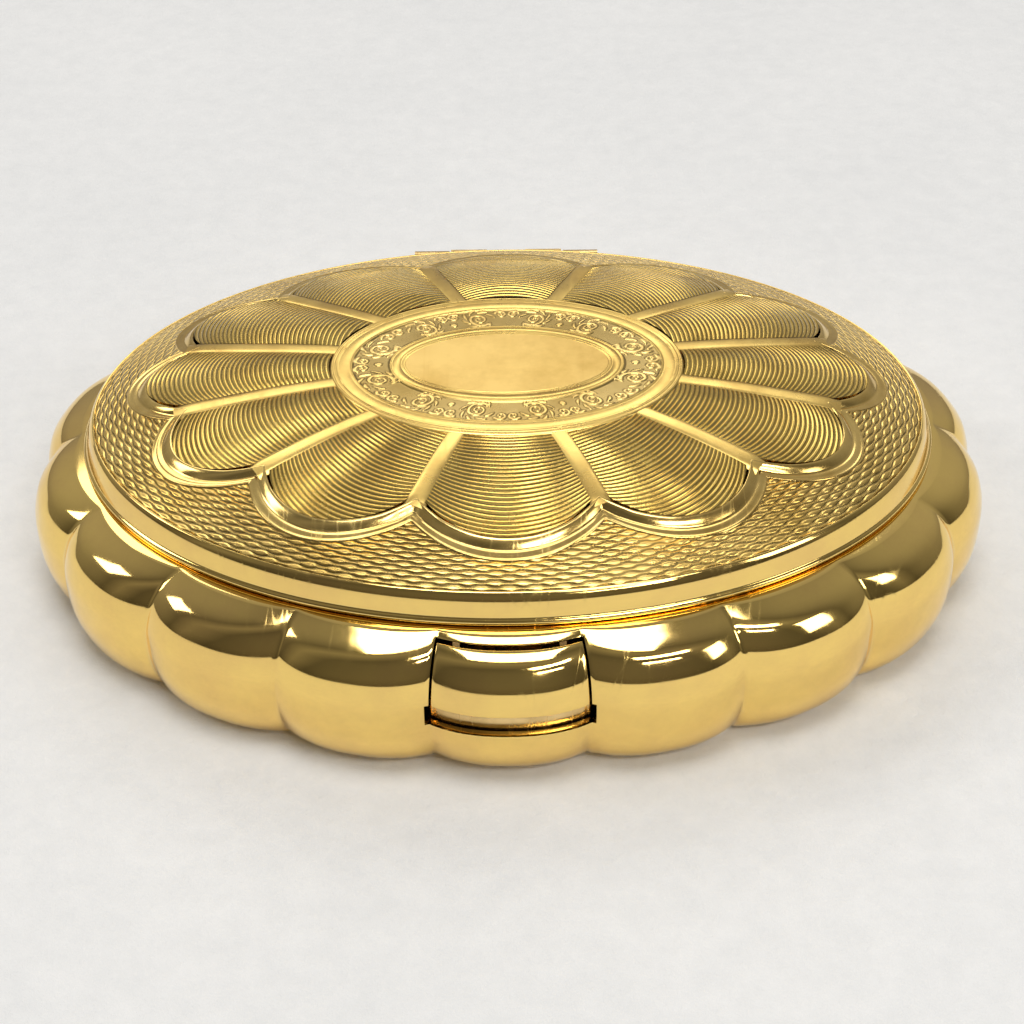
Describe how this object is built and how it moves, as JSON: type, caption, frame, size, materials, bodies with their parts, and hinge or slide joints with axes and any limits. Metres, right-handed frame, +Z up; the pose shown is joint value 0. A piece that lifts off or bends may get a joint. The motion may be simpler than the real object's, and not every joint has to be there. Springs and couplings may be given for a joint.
{
  "type": "powder compact",
  "caption": "Oval gilt powder compact with a melon-fluted body, an engine-turned domed lid, a push catch, an inner lid and a mirror.",
  "frame": {"origin": "middle of the underside, where the compact rests on a table", "axes": "+X along the oval's long axis, -Y towards the push catch at the front, +Z up"},
  "size_m": [0.0844, 0.064, 0.0195],
  "materials": {
    "gilt_polished": "mirror-polished gilt",
    "gilt_satin": "engine-turned satin gilt",
    "brass_inside": "plain gilt pressing",
    "spring_brass": "spring-hard sheet",
    "steel_pin": "drawn wire",
    "mirror_silver": "silvered glass",
    "card": "pressed card",
    "powder": "loose face powder",
    "velour": "cotton velour pile",
    "ribbon": "satin ribbon"
  },
  "bodies": {
    "base": {"body_shell": "gilt_polished", "base_plate": "gilt_polished", "inner_collar": "brass_inside", "powder_pan": "brass_inside", "loose_powder": "powder", "powder_puff": "velour", "puff_ribbon": "ribbon", "hinge_leaf_lower": "brass_inside", "hinge_leaf_lower_rivets": "brass_inside", "hinge_pin": "steel_pin", "inner_hinge_bracket": "brass_inside", "inner_hinge_rivets": "brass_inside", "inner_hinge_pin": "steel_pin", "pawl_guides": "brass_inside", "catch_shield": "gilt_polished", "catch_spring": "spring_brass", "catch_spring_rivet": "brass_inside"},
    "push_piece": {"catch_button": "gilt_polished", "catch_pawl": "spring_brass"},
    "lid": {"lid_cover": "gilt_satin", "lid_liner": "brass_inside", "mirror_glass": "mirror_silver", "mirror_backing": "card", "mirror_bezel": "gilt_polished", "hinge_leaf_upper": "brass_inside", "hinge_leaf_upper_rivets": "brass_inside", "lid_striker": "spring_brass", "lid_striker_rivets": "brass_inside"},
    "powder_lid": {"inner_lid": "gilt_satin", "inner_lid_tab": "gilt_polished", "inner_lid_tab_rivets": "brass_inside"}
  },
  "joints": [
    {"name": "lid_hinge", "type": "hinge", "parent": "base", "child": "lid", "pos_m": [0, 0.02705, 0.0133], "axis": [-1, 0, 0], "range_deg": [0, 115]},
    {"name": "powder_lid_hinge", "type": "hinge", "parent": "base", "child": "powder_lid", "pos_m": [0, 0.019, 0.012], "axis": [-1, 0, 0], "range_deg": [0, 80.5]},
    {"name": "push_piece_slide", "type": "slide", "parent": "base", "child": "push_piece", "axis": [0, 1, 0], "range_m": [0, 0.0006], "stiffness_N_per_m": 1500}
  ],
  "couplings": [
    {"joint": "powder_lid_hinge", "follows": "lid_hinge", "ratio": 0.7}
  ]
}
